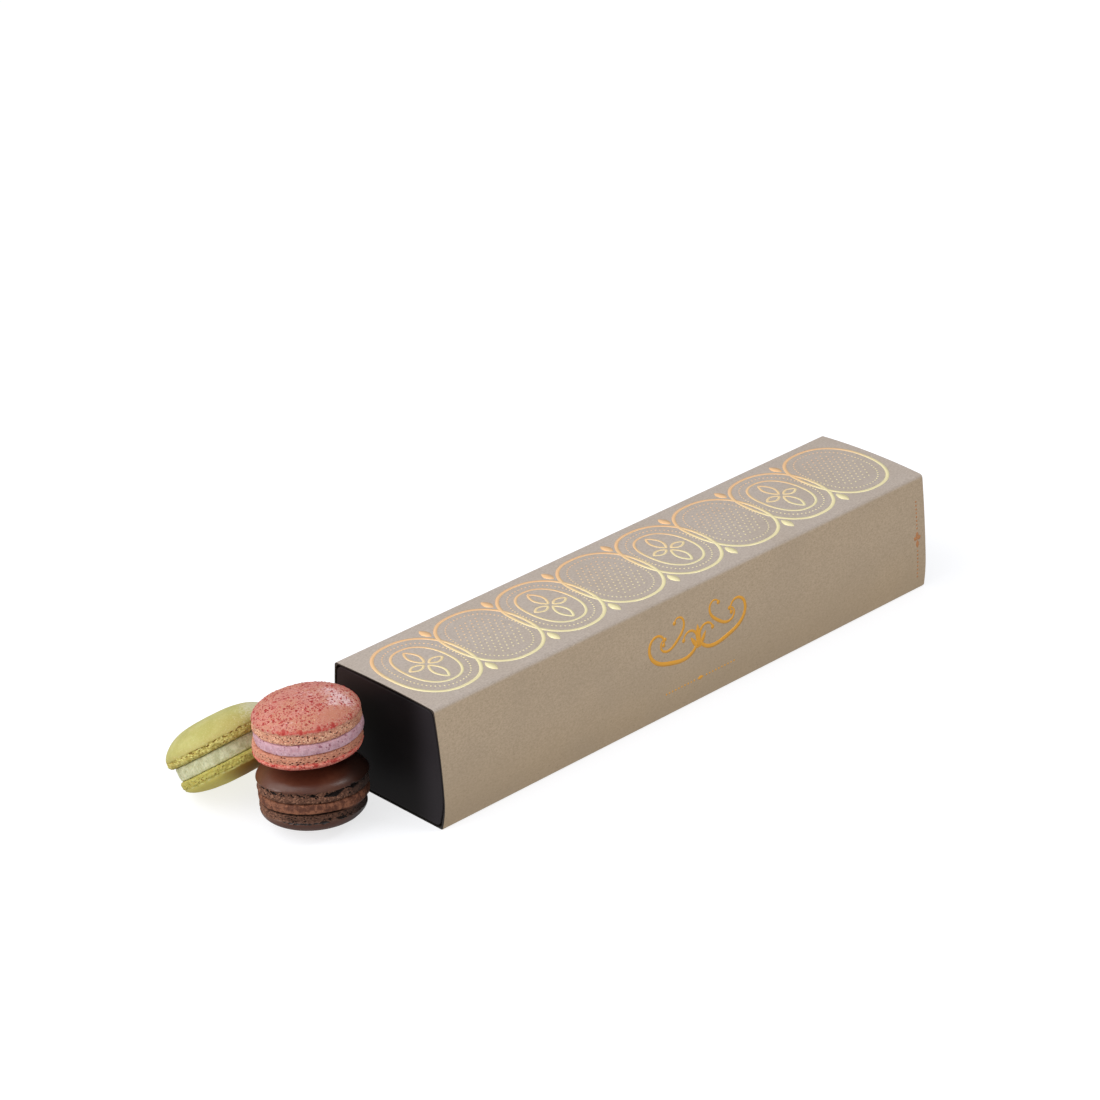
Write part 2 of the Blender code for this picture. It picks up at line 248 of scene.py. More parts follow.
# The crusts, one column for each macaron: colours as they show on a screen, how much of each shows, and what
# the skin is like
CRUSTS = {
    "dome": ((90, 50, 33), (206, 132, 118), (196, 190, 118)),
    "dome_deep": ((78, 39, 25), (202, 136, 110), (182, 175, 96)),
    "dome_light": ((99, 58, 41), (222, 170, 160), (206, 201, 138)),
    "grain": (0.25, 0.5, 0.5),
    # An undusted patch on the pink; painted light on the brown's left; painted shade on the green by its
    # foot and beside the pink
    "bare": ((114, 72, 54), (196, 124, 96), (180, 164, 86)),
    "bare_and_painted_light_share": (0.5, 0.9, 0.75),
    # The lower crust's dome, toned partly as painted light for the light that reaches it from below
    "under": ((83, 45, 31), (234, 150, 130), (221, 205, 101)),
    # Painted shade where a crust faces the box's black end, and on the green's lower right
    "dim": ((30, 18, 14), (150, 84, 60), (148, 108, 36)),
    # Pale patches: partly powder and partly painted highlight on the pink, painted highlight on the green
    "powder": (None, (236, 202, 202), (222, 216, 188)),
    "powder_and_highlight_share": (None, 0.9, 0.75),
    "foot": ((142, 100, 79), (240, 189, 157), (216, 206, 126)),
    "foot_deep": ((101, 66, 50), (208, 145, 120), (184, 168, 88)),
    # Painted shade on the lower crust's foot
    "foot_painted_shade": ((82, 53, 40), (199, 130, 106), (172, 164, 78)),
    "foot_shade_share": (0.7, 0.6, 0.6),
    "wander": (1.6, 3.0, 2.0),
    # Painted shade in the foot's hollows and pits
    "hollow": ((30, 18, 15), (102, 42, 34), (146, 113, 50)),
    "roughness": (0.33, 0.62, 0.55),
    "bump": (0.22, 0.5, 0.35),
    "glow": (0.0, 0.12, 0.10),
    "sheen": (0.43, 0.3, 0.35),
}
# The fillings, one column for each macaron: slot and finish, the gap to the crusts, how far the side swells,
# how rough and streaked it is, its groove and how far its edge hangs down, then looks as for the crusts
FILLINGS = {
    "slot": ("brown_filling", "lilac_filling", "cream_filling"),
    "finish": ("cocoa_cream", "lilac_cream", "pale_cream"),
    "gap": (0.0002, 0.00012, 0.00004),
    "bulge": (0.0006, 0.0004, 0.0004),
    "rough": (0.00012, 0.00012, 0.00012),
    "streak": (0.0, 0.0, 0.00003),
    "groove": (0.002, 0.0, 0.0),
    "lower": (0.0007, 0.0, 0.0),
    "deep": ((92, 53, 38), (190, 142, 154), (186, 185, 141)),
    "light": ((142, 92, 68), (220, 182, 192), (222, 221, 185)),
    "speck": ((84, 48, 35), (136, 68, 92), (170, 160, 116)),
    "speck_share": (0.34, 0.34, 0.14),
    "speck_grains": ((0.7, 1.5), (0.8, 1.5), (0.8, 1.6)),
    "fibre": (0.3, 0.4, 0.6),
    "relief": (0.25, 0.08, 0.12),
    "roughness": (0.55, 0.5, 0.5),
    "bump": (0.6, 0.3, 0.5),
    "glow": (0.0, 0.15, 0.15),
}
# Painted shade in a grooved filling's groove and on its right
GROOVE_SHADE = (22, 12, 9)
# Raspberry dust: the specks' grain in millimetres, share of the cells, weight and colour, and the smear's
# and the blots' colour
SPECKS = ((0.66, 0.64, 0.90, (180, 46, 46)), (1.00, 0.60, 1.00, (170, 34, 38)),
          (1.60, 0.40, 1.00, (160, 26, 32)))
SMEAR = (200, 58, 50)
BLOT = (178, 42, 38)
CRUMB_TONES = {"dark": (146, 30, 34), "light": (196, 62, 58), "pale": (234, 170, 134)}
# The masks that every crust carries, 0 unless its patches say otherwise
MASKS = ("powder", "bare", "under", "low", "dim")


def colour(red, green, blue):
    """A colour as it shows on a screen, from 0 to 255, turned into the linear one that shaders use."""
    share = np.array((red, green, blue)) / 255
    linear = np.where(share <= 0.04045, share / 12.92, ((share + 0.055) / 1.055) ** 2.4)
    return (*linear.tolist(), 1.0)


def column(table, number):
    """The looks in one column of a table."""
    return {key: row[number] for key, row in table.items()}


def toned(looks):
    """Looks whose screen colours, the values of three numbers, are turned into a shader's."""
    return {key: colour(*value) if isinstance(value, tuple) and len(value) == 3 else value
            for key, value in looks.items()}


class Value:
    """A shader socket: Python's operators on it add Math nodes."""

    def __init__(self, finish, socket):
        self.finish = finish
        self.socket = socket

    def math(self, operation, first, second):
        return self.finish.node("ShaderNodeMath", {"operation": operation}, {0: first, 1: second})

    def __add__(self, other):
        return self.math("ADD", self, other)

    def __sub__(self, other):
        return self.math("SUBTRACT", self, other)

    def __rsub__(self, other):
        return self.math("SUBTRACT", other, self)

    def __mul__(self, other):
        return self.math("MULTIPLY", self, other)

    __radd__ = __add__
    __rmul__ = __mul__


class Finish:
    """One material, whose shader takes what varies from links and the rest as fixed values."""

    def __init__(self, name):
        self.material = bpy.data.materials.new(name)
        self.material.use_nodes = True
        self.tree = self.material.node_tree
        self.shader = self.tree.nodes["Principled BSDF"]

    def node(self, kind, settings, sockets, output=0):
        """Adds a node: its settings first, then the values or links of its sockets."""
        made = self.tree.nodes.new(kind)
        for key, value in settings.items():
            setattr(made, key, value)
        for key, value in sockets.items():
            if isinstance(value, Value):
                self.tree.links.new(value.socket, made.inputs[key])
            else:
                made.inputs[key].default_value = value
        return Value(self, made.outputs[output])

    def own(self, name):
        """A number that the piece's vertices carry."""
        return self.node("ShaderNodeAttribute", {"attribute_name": name}, {}, "Fac")

    def place(self):
        """The place in the macaron's own frame, in millimetres, that its vertices carry."""
        return self.node("ShaderNodeAttribute", {"attribute_name": "place"}, {}, "Vector")

    def spot(self):
        """The place in the object's frame, in millimetres."""
        here = self.node("ShaderNodeTexCoord", {}, {}, "Object")
        return self.node("ShaderNodeVectorMath", {"operation": "SCALE"}, {0: here, "Scale": 1000.0})

    def part(self, vector, axis):
        return self.node("ShaderNodeSeparateXYZ", {}, {0: vector}, axis)

    def stretched(self, vector, along):
        return self.node("ShaderNodeVectorMath", {"operation": "MULTIPLY"}, {0: vector, 1: along})

    def noise(self, vector, grain, detail=2.0, roughness=0.5):
        """Cloudy noise from 0 to 1 whose features are about a grain wide."""
        sockets = {"Vector": vector, "Scale": 1 / grain, "Detail": detail, "Roughness": roughness}
        return self.node("ShaderNodeTexNoise", {}, sockets)

    def step(self, value, low, high):
        """0 below low, 1 above high, and a smooth slope between."""
        settings = {"interpolation_type": "SMOOTHSTEP"}
        return self.node("ShaderNodeMapRange", settings, {"Value": value, "From Min": low, "From Max": high})

    def specks(self, vector, grain, share, softness=0.09):
        """Round specks, at most one in each cell of a grain's width, in about this share of the cells."""
        sockets = {"Vector": vector, "Scale": 1 / grain}
        away = self.node("ShaderNodeTexVoronoi", {}, sockets, "Distance")
        luck = self.part(self.node("ShaderNodeTexVoronoi", {}, sockets, "Color"), "X")
        size = self.step(luck, 1 - share, 1.25 - share) * 0.42
        return self.step(size - away, -softness * 0.3, softness)

    def mix(self, factor, first, second):
        settings = {"data_type": "RGBA"}
        return self.node("ShaderNodeMix", settings, {0: factor, 6: first, 7: second}, 2)

    def layers(self, base, *coats):
        """Lays colours over a base, each by its own factor."""
        for factor, tone in coats:
            base = self.mix(factor, base, tone)
        return base

    def bump(self, height, strength, distance):
        """Wires a height in shares of a distance in metres into the shader's normal."""
        sockets = {"Strength": strength, "Distance": distance, "Height": height}
        self.wire("Normal", self.node("ShaderNodeBump", {}, sockets))

    def wire(self, socket, value):
        self.tree.links.new(value.socket, self.shader.inputs[socket])

    def fix(self, values):
        for socket, value in values.items():
            self.shader.inputs[socket].default_value = value

    def coat(self, skin, roughness, sheen=0.5):
        """Wires the colour and the roughness, and sets how much the surface mirrors."""
        self.wire("Base Color", skin)
        self.wire("Roughness", roughness)
        self.fix({"Specular IOR Level": sheen})

    def glow(self, share, reach):
        """Light goes a little way in: its share, and how far its red, green and blue reach."""
        self.fix({"Subsurface Weight": share, "Subsurface Radius": reach, "Subsurface Scale": 1.0})


def smooth(value, low, high):
    """0 below low, 1 above high, and a smooth slope between, on arrays."""
    share = np.clip((value - low) / (high - low), 0, 1)
    return share * share * (3 - 2 * share)


def waves(seed, orders, angle):
    """A closed wavy function of an angle, from -1 to 1, with the seeded phases of the part's source."""
    draw = random.Random(seed)
    terms = [(order, draw.uniform(0, 2 * math.pi), draw.uniform(0.6, 1.0)) for order in orders]
    total = sum(weight for _, _, weight in terms)
    return sum(weight * np.sin(order * angle + phase) for order, phase, weight in terms) / total


def spun(radius, height, angle):
    """Points of a surface of turning: a radius and a height at each angle round the axis."""
    return np.stack((np.cos(angle) * radius, np.sin(angle) * radius, height), -1)


def capped(grid, low, high):
    """The points of a turned grid, and after them a pole at each end of the axis."""
    return np.concatenate((grid.reshape(-1, 3), ((0, 0, low), (0, 0, high))))


def cloud(points, grain, seed, octaves=1):
    """Noise from -1 to 1: random numbers on a turned cubic lattice, blended smoothly between its corners."""
    total = np.zeros(points.shape[:-1])
    for octave in range(octaves):
        table = np.random.RandomState(seed + octave).uniform(-1, 1, (LATTICE,) * 3)
        at = points @ CLOUD_TURN * (2 ** octave / grain)
        cell = np.floor(at).astype(int)
        part = at - cell
        part = part * part * (3 - 2 * part)
        for corner in np.ndindex(2, 2, 2):
            weight = np.prod(np.where(corner, part, 1 - part), axis=-1)
            i, j, k = np.moveaxis((cell + corner) % LATTICE, -1, 0)
            total += weight * table[i, j, k] * 0.5 ** octave
    return total


def grid_faces(rows, columns, ring=False, poles=False):
    """Faces of a grid whose columns close on themselves: quads, and triangles round a pole at each end.

    A ring closes its last row on its first. The poles are the two points after the grid's own.
    """
    number = np.arange(rows * columns).reshape(rows, columns)
    low = number if ring else number[:-1]
    high = np.roll(number, -1, 0) if ring else number[1:]
    quads = np.stack((low, np.roll(low, -1, 1), np.roll(high, -1, 1), high), -1).reshape(-1, 4)
    if not poles:
        return quads, np.empty((0, 3), int)
    first, last = number[0], number[-1]
    start = np.stack((np.full(columns, rows * columns), np.roll(first, -1), first), -1)
    end = np.stack((np.full(columns, rows * columns + 1), last, np.roll(last, -1)), -1)
    return quads, np.concatenate((start, end))


def joined(parts):
    """Puts several shapes, each of points, quads and triangles, into one."""
    offsets = np.cumsum([0] + [len(points) for points, _, _ in parts[:-1]])
    return (np.concatenate([points for points, _, _ in parts]),
            np.concatenate([quads + offset for (_, quads, _), offset in zip(parts, offsets)]),
            np.concatenate([triangles + offset for (_, _, triangles), offset in zip(parts, offsets)]))


def add_piece(name, shape, finish, slot, stands_for=(), values=None, sharp=None):
    """Makes a mesh piece of points, quads and triangles, which rides on the object's one body."""
    points, quads, triangles = shape
    corners = np.concatenate((quads.ravel(), triangles.ravel()))
    counts = np.concatenate((np.full(len(quads), 4), np.full(len(triangles), 3)))
    mesh = bpy.data.meshes.new(name)
    mesh.vertices.add(len(points))
    mesh.vertices.foreach_set("co", points.astype(np.float32).ravel())
    mesh.loops.add(len(corners))
    mesh.loops.foreach_set("vertex_index", corners.astype(np.int32))
    mesh.polygons.add(len(counts))
    mesh.polygons.foreach_set("loop_start", (np.cumsum(counts) - counts).astype(np.int32))
    for key, value in (values or {}).items():
        kind, field = ("FLOAT_VECTOR", "vector") if value.ndim == 2 else ("FLOAT", "value")
        mesh.attributes.new(key, kind, "POINT").data.foreach_set(field, value.astype(np.float32).ravel())
    mesh.update(calc_edges=True)
    mesh.validate()
    mesh.shade_smooth()
    if sharp:
        mesh.set_sharp_from_angle(angle=math.radians(sharp))
    mesh.materials.append(finish.material)
    piece = bpy.data.objects.new(name, mesh)
    bpy.context.scene.collection.objects.link(piece)
    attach(piece, "root")
    if stands_for:
        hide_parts(*stands_for)
    return piece


def bow(share, rise, middle=0.5):
    """How far a panel bows out at a share of its width: two half parabolas that meet at the middle."""
    span = np.where(share < middle, middle, 1 - middle)
    return rise * (1 - ((share - middle) / span) ** 2)


def arc(centre_y, centre_z, radius, start):
    """A quarter circle that turns a fold, anticlockwise from the start angle in degrees."""
    turn = np.radians(start + 90 * np.linspace(0, 1, CORNER_STEPS + 1))
    return np.stack((centre_y + radius * np.cos(turn), centre_z + radius * np.sin(turn)), -1)


def section(x, inset, radius, lid_rise):
    """Ring of points round the box at x, drawn in by an inset: leaning sides and a lid that bow out."""
    top, low = SLEEVE_TOP_WIDTH / 2 - inset, SLEEVE_LOW_WIDTH / 2 - inset
    base, high = inset, SLEEVE_HEIGHT - inset
    up = np.arange(1, SIDE_STEPS) / SIDE_STEPS
    over = np.arange(1, LID_STEPS) / LID_STEPS
    side_rise = along_box(x, NEAR_SIDE_BOW, FAR_SIDE_BOW)
    side = np.stack((low + (top - low) * up + bow(up, side_rise, SIDE_BOW_MIDDLE),
                     base + radius + (high - base - 2 * radius) * up), -1)
    lid = np.stack(((top - radius) * (1 - 2 * over), high + bow(over, lid_rise)), -1)
    outline = np.concatenate((arc(low - radius, base + radius, radius, -90), side,
                              arc(top - radius, high - radius, radius, 0), lid,
                              arc(radius - top, high - radius, radius, 90), side[::-1] * (-1, 1),
                              arc(radius - low, base + radius, radius, 180)))
    return np.column_stack((np.full(len(outline), x), outline))


def along_box(along, near, far):
    """A value that changes evenly along the box, from its near end to its far one."""
    return near + (far - near) * (along / SLEEVE_LENGTH + 0.5)


def lid_place(along, across, out):
    """A place on the lid's print: Z is the lid's height there, bowed as the section is, plus out."""
    flat = SLEEVE_TOP_WIDTH / 2 - FOLD_RADIUS
    height = SLEEVE_HEIGHT + bow((flat - across) / (2 * flat), along_box(along, TOP_BOW, FAR_TOP_BOW))
    return np.stack((along, across, height + out), -1)


def side_place(along, up, out):
    """A place on the side that faces the viewer: Y is the side's leaning, bowed width there, plus out."""
    share = (up - FOLD_RADIUS) / (SLEEVE_HEIGHT - 2 * FOLD_RADIUS)
    rise = along_box(along, NEAR_SIDE_BOW, FAR_SIDE_BOW)
    half = SLEEVE_LOW_WIDTH / 2 + (SLEEVE_TOP_WIDTH - SLEEVE_LOW_WIDTH) / 2 * share
    return np.stack((along, -half - bow(share, rise, SIDE_BOW_MIDDLE) - out, up), -1)


def sleeve_card(finish):
    """The sleeve: outer rings of the section along the box, its cut end, inner rings and the other end."""
    half = SLEEVE_LENGTH / 2
    outer = np.linspace(-half + CUT_EDGE, half - CUT_EDGE, SLEEVE_RINGS)
    stations = [(x, 0.0) for x in outer]
    stations += [(half, CUT_EDGE), (half, CARD - CUT_EDGE)]
    stations += [(x, CARD) for x in outer[::-6]]
    stations += [(-half, CARD - CUT_EDGE), (-half, CUT_EDGE)]
    grid = np.array([section(x, inset, FOLD_RADIUS - inset if inset <= CUT_EDGE else INNER_FOLD,
                             along_box(x, TOP_BOW, FAR_TOP_BOW)) for x, inset in stations])
    depth = np.array([inset for _, inset in stations])[:, None] + np.zeros(grid.shape[1])
    cut = np.where((depth > 0) & (depth < CARD), 1.0, 0.0)
    inside = np.where(depth >= CARD, 1.0, 0.0)
    lid = smooth(grid[..., 2], SLEEVE_HEIGHT - FOLD_RADIUS, SLEEVE_HEIGHT - 0.1 * FOLD_RADIUS)
    values = {"cut": cut.ravel(), "inside": inside.ravel(), "lid": lid.ravel()}
    shape = (grid.reshape(-1, 3), *grid_faces(*grid.shape[:2], ring=True))
    add_piece("sleeve_card", shape, finish, "kraft_card", ["sleeve"], values, sharp=38)


def tray_card(finish):
    """The shut tray: rings of the section from its near panel's middle, round the rims, to the far one's."""
    half = SLEEVE_LENGTH / 2
    inset = CARD + TRAY_GAP
    turn = np.radians(np.linspace(0, 90, 7))
    rim = [(-half + TRAY_RIM * (1 - math.sin(t)), TRAY_RIM * (1 - math.cos(t))) for t in turn[::-1]]
    spread = (0.15, 0.4, 0.65, 0.85, 0.95)
    rings = [section(x, inset + drawn, TRAY_CORNER - drawn, 0.0)
             for x, drawn in rim + [(-x, drawn) for x, drawn in reversed(rim)]]
    middle = np.array((0.0, 0.0, SLEEVE_HEIGHT / 2))
    near, far = ([middle + (ring - middle) * (1 / share, 1, 1) * share for share in spread]
                 for ring in (rings[0], rings[-1]))
    grid = np.array(near + rings + far[::-1])
    poles = ((-half, 0, SLEEVE_HEIGHT / 2), (half, 0, SLEEVE_HEIGHT / 2))
    shape = (np.concatenate((grid.reshape(-1, 3), poles)), *grid_faces(*grid.shape[:2], poles=True))
    add_piece("tray_card", shape, finish, "black_card", ["tray"], sharp=60)


def ribbon(place, path, width, proud=PROUD, closed=False):
    """A printed line: a low ridge of five corners carried along a path in the panel's own two directions."""
    width = np.broadcast_to(width, len(path))
    if closed:
        ahead = np.roll(path, -1, 0) - np.roll(path, 1, 0)
    else:
        ahead = np.gradient(path, axis=0)
    ahead /= np.linalg.norm(ahead, axis=1, keepdims=True)
    side = np.stack((-ahead[:, 1], ahead[:, 0]), -1)
    corners = ((-0.5, -SUNK), (0.5, -SUNK), (0.5, 0.5 * proud), (0.0, proud), (-0.5, 0.5 * proud))
    rows = []
    for share, out in corners:
        at = path + side * (share * width)[:, None]
        rows.append(place(at[:, 0], at[:, 1], out))
    grid = np.stack(rows, 1)
    quads, triangles = grid_faces(len(path), len(corners), ring=closed)
    if not closed:
        fan = np.array([(0, i, i + 1) for i in range(1, len(corners) - 1)])
        triangles = np.concatenate((fan[:, ::-1], fan + (len(path) - 1) * len(corners)))
    return grid.reshape(-1, 3), quads, triangles


def dots(place, centres, radius, proud=PROUD, sides=8):
    """Printed dots: low domes, each a middle point over two rings of points and a middle point below."""
    centres = np.asarray(centres)
    radius = np.broadcast_to(radius, len(centres))[:, None]
    turn = np.linspace(0, 2 * math.pi, sides, endpoint=False)
    along = centres[:, :1] + radius * np.cos(turn)
    across = centres[:, 1:] + radius * np.sin(turn)
    low = place(along, across, -SUNK)
    high = place(along, across, 0.5 * proud)
    ends = np.stack([place(centres[:, 0], centres[:, 1], out) for out in (-SUNK, proud)], 1)
    points = np.concatenate((low, high, ends), 1)
    quads, triangles = grid_faces(2, sides, poles=True)
    offset = (np.arange(len(centres)) * (2 * sides + 2))[:, None, None]
    return points.reshape(-1, 3), (quads + offset).reshape(-1, 4), (triangles + offset).reshape(-1, 3)


def oval(centre, half, power, count):
    """Points of a rounded oval: each coordinate is half * |cos or sin of the turn| ** (2 / power)."""
    turn = np.linspace(0, 2 * math.pi, count, endpoint=False)
    shape = np.stack((np.cos(turn), np.sin(turn)), -1)
    return np.array(centre) + np.sign(shape) * np.abs(shape) ** (2 / power) * np.array(half)


def spaced(path, pitch):
    """Points along a closed path, evenly spaced at about the pitch."""
    loop = np.concatenate((path, path[:1]))
    length = np.concatenate(((0,), np.cumsum(np.linalg.norm(np.diff(loop, axis=0), axis=1))))
    at = np.linspace(0, length[-1], int(length[-1] / pitch), endpoint=False)
    return np.stack([np.interp(at, length, loop[:, axis]) for axis in (0, 1)], -1)


def petal(centre, bearing, start, length, width, count=28):
    """A leaf outline: its half width is width * sin(pi * share) ** 0.8 along a line out from the centre."""
    share = np.linspace(0, 1, count, endpoint=False)
    out = np.concatenate((start + length * share, start + length * (1 - share)))
    side = width * np.sin(math.pi * share) ** 0.8
    return centre + turned(np.stack((out, np.concatenate((side, -side))), -1), bearing)


def leaf(place, centre, bearing, start, length, width):
    """A solid leaf: a line straight out from the centre, its width that of a petal."""
    share = np.linspace(0, 1, 14)
    way = turned(np.stack((start + length * share, 0 * share), -1), bearing)
    return ribbon(place, centre + way, 2 * width * np.sin(math.pi * share) ** 0.8 + 0.0001)


def lid_print(finish):
    """A chain of oval medallions: a ring, a dotted ring and, in turn, a leaf cross or a field of dots."""
    lines = []
    points = []
    for number in range(MEDALLIONS):
        middle = np.array(((number - (MEDALLIONS - 1) / 2) * MEDALLION_PITCH, 0.0))
        half = np.array(MEDALLION_HALF)
        lines.append(ribbon(lid_place, oval(middle, half, MEDALLION_POWER, 120), LINE, closed=True))
        points.append(spaced(oval(middle, half * DOTTED_RING, MEDALLION_POWER, 120), DOT_PITCH))
        if number % 2:
            points.append(dot_field(middle, half * FIELD))
        else:
            ring = oval(middle, half * INNER_RING, MEDALLION_POWER, 100)
            lines.append(ribbon(lid_place, ring, FINE_LINE, closed=True))
            for bearing, length, width in PETALS:
                outline = petal(middle, bearing, 0.0014, length, width)
                lines.append(ribbon(lid_place, outline, FINE_LINE, closed=True))
    for number in range(MEDALLIONS - 1):
        joint = (number - MEDALLIONS / 2 + 1) * MEDALLION_PITCH
        for side in (-1, 1):
            lines.append(leaf(lid_place, (joint, side * 0.0152), 90 * side, 0.0, 0.0072, 0.0017))
    add_piece("lid_lines", joined(lines), finish, "foil")
    add_piece("lid_dots", dots(lid_place, np.concatenate(points), DOT), finish, "foil")


def dot_field(middle, half):
    """A staggered field of dots inside an oval."""
    found = []
    for row in range(-8, 9):
        for step in range(-8, 9):
            at = np.array(((step + row % 2 / 2) * FIELD_PITCH, row * FIELD_PITCH * 0.87))
            if (np.abs(at / half) ** MEDALLION_POWER).sum() < 0.9:
                found.append(middle + at)
    return np.array(found)


def scroll(turns, size, count=150):
    """An S-shaped scroll: its heading turns with the square of the way from its middle."""
    way = np.linspace(-1, 1, count)
    heading = turns * 2 * math.pi * np.sign(way) * way ** 2
    step = np.stack((np.cos(heading), np.sin(heading)), -1)
    path = np.cumsum(step, 0)
    path -= path[len(path) // 2]
    return path * size / np.ptp(path[:, 0]), np.abs(way)


def turned(path, degrees):
    """A path turned anticlockwise in its panel."""
    turn = math.radians(degrees)
    return path @ np.array(((math.cos(turn), math.sin(turn)), (-math.sin(turn), math.cos(turn))))


def side_print(finish):
    """A mirrored pair of scrolls with leaves between them over a dotted line."""
    lines = []
    points = []
    for flip in (-1, 1):
        for turns, size, degrees, away, width in SIDE_LINES:
            path, ends = scroll(turns, size)
            path = (turned(path, degrees) + away) * (flip, 1) + SCROLL_CENTRE
            lines.append(ribbon(side_place, path, width * (1 - 0.6 * ends ** 1.5), 1.2 * PROUD))
            points += [path[0], path[-1]]
    for bearing, length, width in ((90, 0.0100, 0.0013), (58, 0.0070, 0.0009), (122, 0.0070, 0.0009)):
        lines.append(leaf(side_place, SCROLL_CENTRE, bearing, 0.0008, length, width))
    ball = dots(side_place, np.array(points), 0.0009, 1.3 * PROUD, 12)
    low = SCROLL_CENTRE[1] - 0.0125
    row = np.array([(SCROLL_CENTRE[0] + step * DOT_PITCH, low) for step in range(-11, 12) if abs(step) > 1])
    lines.append(leaf(side_place, (SCROLL_CENTRE[0], low), 0, -0.0016, 0.0032, 0.0008))
    add_piece("side_scroll", joined([*lines, ball]), finish, "foil")
    add_piece("side_dots", dots(side_place, row, 0.00042), finish, "foil")


def strip_print(finish):
    """A small upright ornament by the far edge: a dotted line with leaves in its middle."""
    middle = 0.0235
    steps = [step for step in range(-10, 11) if abs(step) > 2]
    row = dots(side_place, np.array([(STRIP_X, middle + step * DOT_PITCH) for step in steps]), 0.00046)
    leaves = [leaf(side_place, (STRIP_X, middle), bearing, 0.0002, length, 0.0008)
              for bearing, length in ((90, 0.0034), (-90, 0.0034), (35, 0.0022), (145, 0.0022))]
    add_piece("end_ornament", joined([row, *leaves]), finish, "foil")


def shell_rows(shell, look):
    """Half outline of a shell from its flat face to its crown: radius, height, foot relief and foot mask.

    The foot is a skirt with a rounded lower lip, drawn in towards the crease under the dome. The dome is
    height = dome * (1 - share ** flatness) ** (1 / fullness) over share = radius / widest radius.
    """
    widest, foot = shell.radius, shell.foot
    wide = widest - look["inset"]
    rim, crease = foot + DOME_RIM, CREASE_START * foot
    round_, high = look["lip"]
    under = np.linspace(0.4, 1, UNDER_ROWS, endpoint=False) * (wide - round_)
    lip = np.radians(np.linspace(-90, 0, LIP_ROWS, endpoint=False))
    side = np.linspace(0, 1, FOOT_ROWS, endpoint=False)
    bend = np.linspace(0, 1, CREASE_ROWS, endpoint=False)
    dome = np.sin(np.radians(np.linspace(90, 0, DOME_ROWS, endpoint=False)))
    drawn = wide - look["drawn"]
    radius = np.concatenate((
        under, wide - round_ + round_ * np.cos(lip), wide - look["drawn"] * side ** 1.8,
        drawn + (widest - drawn) * bend ** 1.5 - look["crease"] * np.sin(math.pi * bend) ** 2,
        widest * dome))
    height = np.concatenate((
        0 * under, high * foot * (1 + np.sin(lip)), (high + (CREASE_START - high) * side) * foot,
        crease + (rim - crease) * bend,
        rim + (shell.dome - DOME_RIM) * (1 - dome ** shell.flatness) ** (1 / shell.fullness)))
    relief = np.concatenate((np.linspace(0, 0.5, UNDER_ROWS), np.linspace(0.5, 1, LIP_ROWS),
                             1 - 0.4 * smooth(side, 0.4, 1), 0.6 * (1 - bend), 0 * dome))
    foot_mask = np.concatenate((np.ones(SKIRT_ROWS), 1 - smooth(bend, 0.3, 1), 0 * dome))
    return radius, height, relief, foot_mask


def gap_round(across, at, girth):
    """The shorter way round a girth from a place to each point."""
    return (across - at + girth / 2) % girth - girth / 2


def lumps(across, up, girth, top, seed, count, least, most):
    """Overlapping round lumps: the highest of size * sqrt(1 - (distance / size) ** 2) over all of them."""
    draw = np.random.RandomState(seed)
    relief = np.zeros(across.shape)
    for _ in range(count):
        size = draw.uniform(least, most)
        gap = gap_round(across, draw.uniform(0, girth), girth)
        rise = (up - draw.uniform(-0.05, 1.02) * top) * draw.uniform(0.9, 1.5)
        relief = np.maximum(relief, size * np.sqrt(np.maximum(1 - (gap ** 2 + rise ** 2) / size ** 2, 0)))
    return relief


def hollows(across, up, girth, places):
    """Pits: the deepest of depth * (1 - q) ** 0.8, q being the squared distance in shares of an ellipse."""
    depth = np.zeros(across.shape)
    for at, height, half_width, half_height, deep, slant in places:
        gap = gap_round(across, at, girth)
        far = (gap / half_width) ** 2 + ((up - height - slant * gap) / half_height) ** 2
        depth = np.maximum(depth, deep * np.maximum(1 - far, 0) ** 0.8)
    return depth


def pit_places(look, torn, foot, girth, seed):
    """The foot's pits: small ones anywhere on it, longer slots along the dome, and torn hollows."""
    draw = np.random.RandomState(seed)
    count, least, most = look["pits"]
    places = []
    for _ in range(count):
        size = draw.uniform(least, most)
        places.append((draw.uniform(0, girth), draw.uniform(0.08, 0.95) * foot, size * draw.uniform(1, 1.6),
                       size, 1.3 * size, draw.uniform(-0.2, 0.2)))
    count, least, most = look["slots"]
    for _ in range(count):
        size = draw.uniform(least, most)
        places.append((draw.uniform(0, girth), draw.uniform(0.78, 1.04) * foot, 0.5 * size, 0.22 * size,
                       0.45 * size, draw.uniform(-0.15, 0.15)))
    for bearing, height, half_width, half_height, *slant in torn:
        places.append((bearing / 360 * girth, height * MM, half_width * MM, half_height * MM,
                       look["depth"] * half_height * MM, *(slant or (0.0,))))
    return places


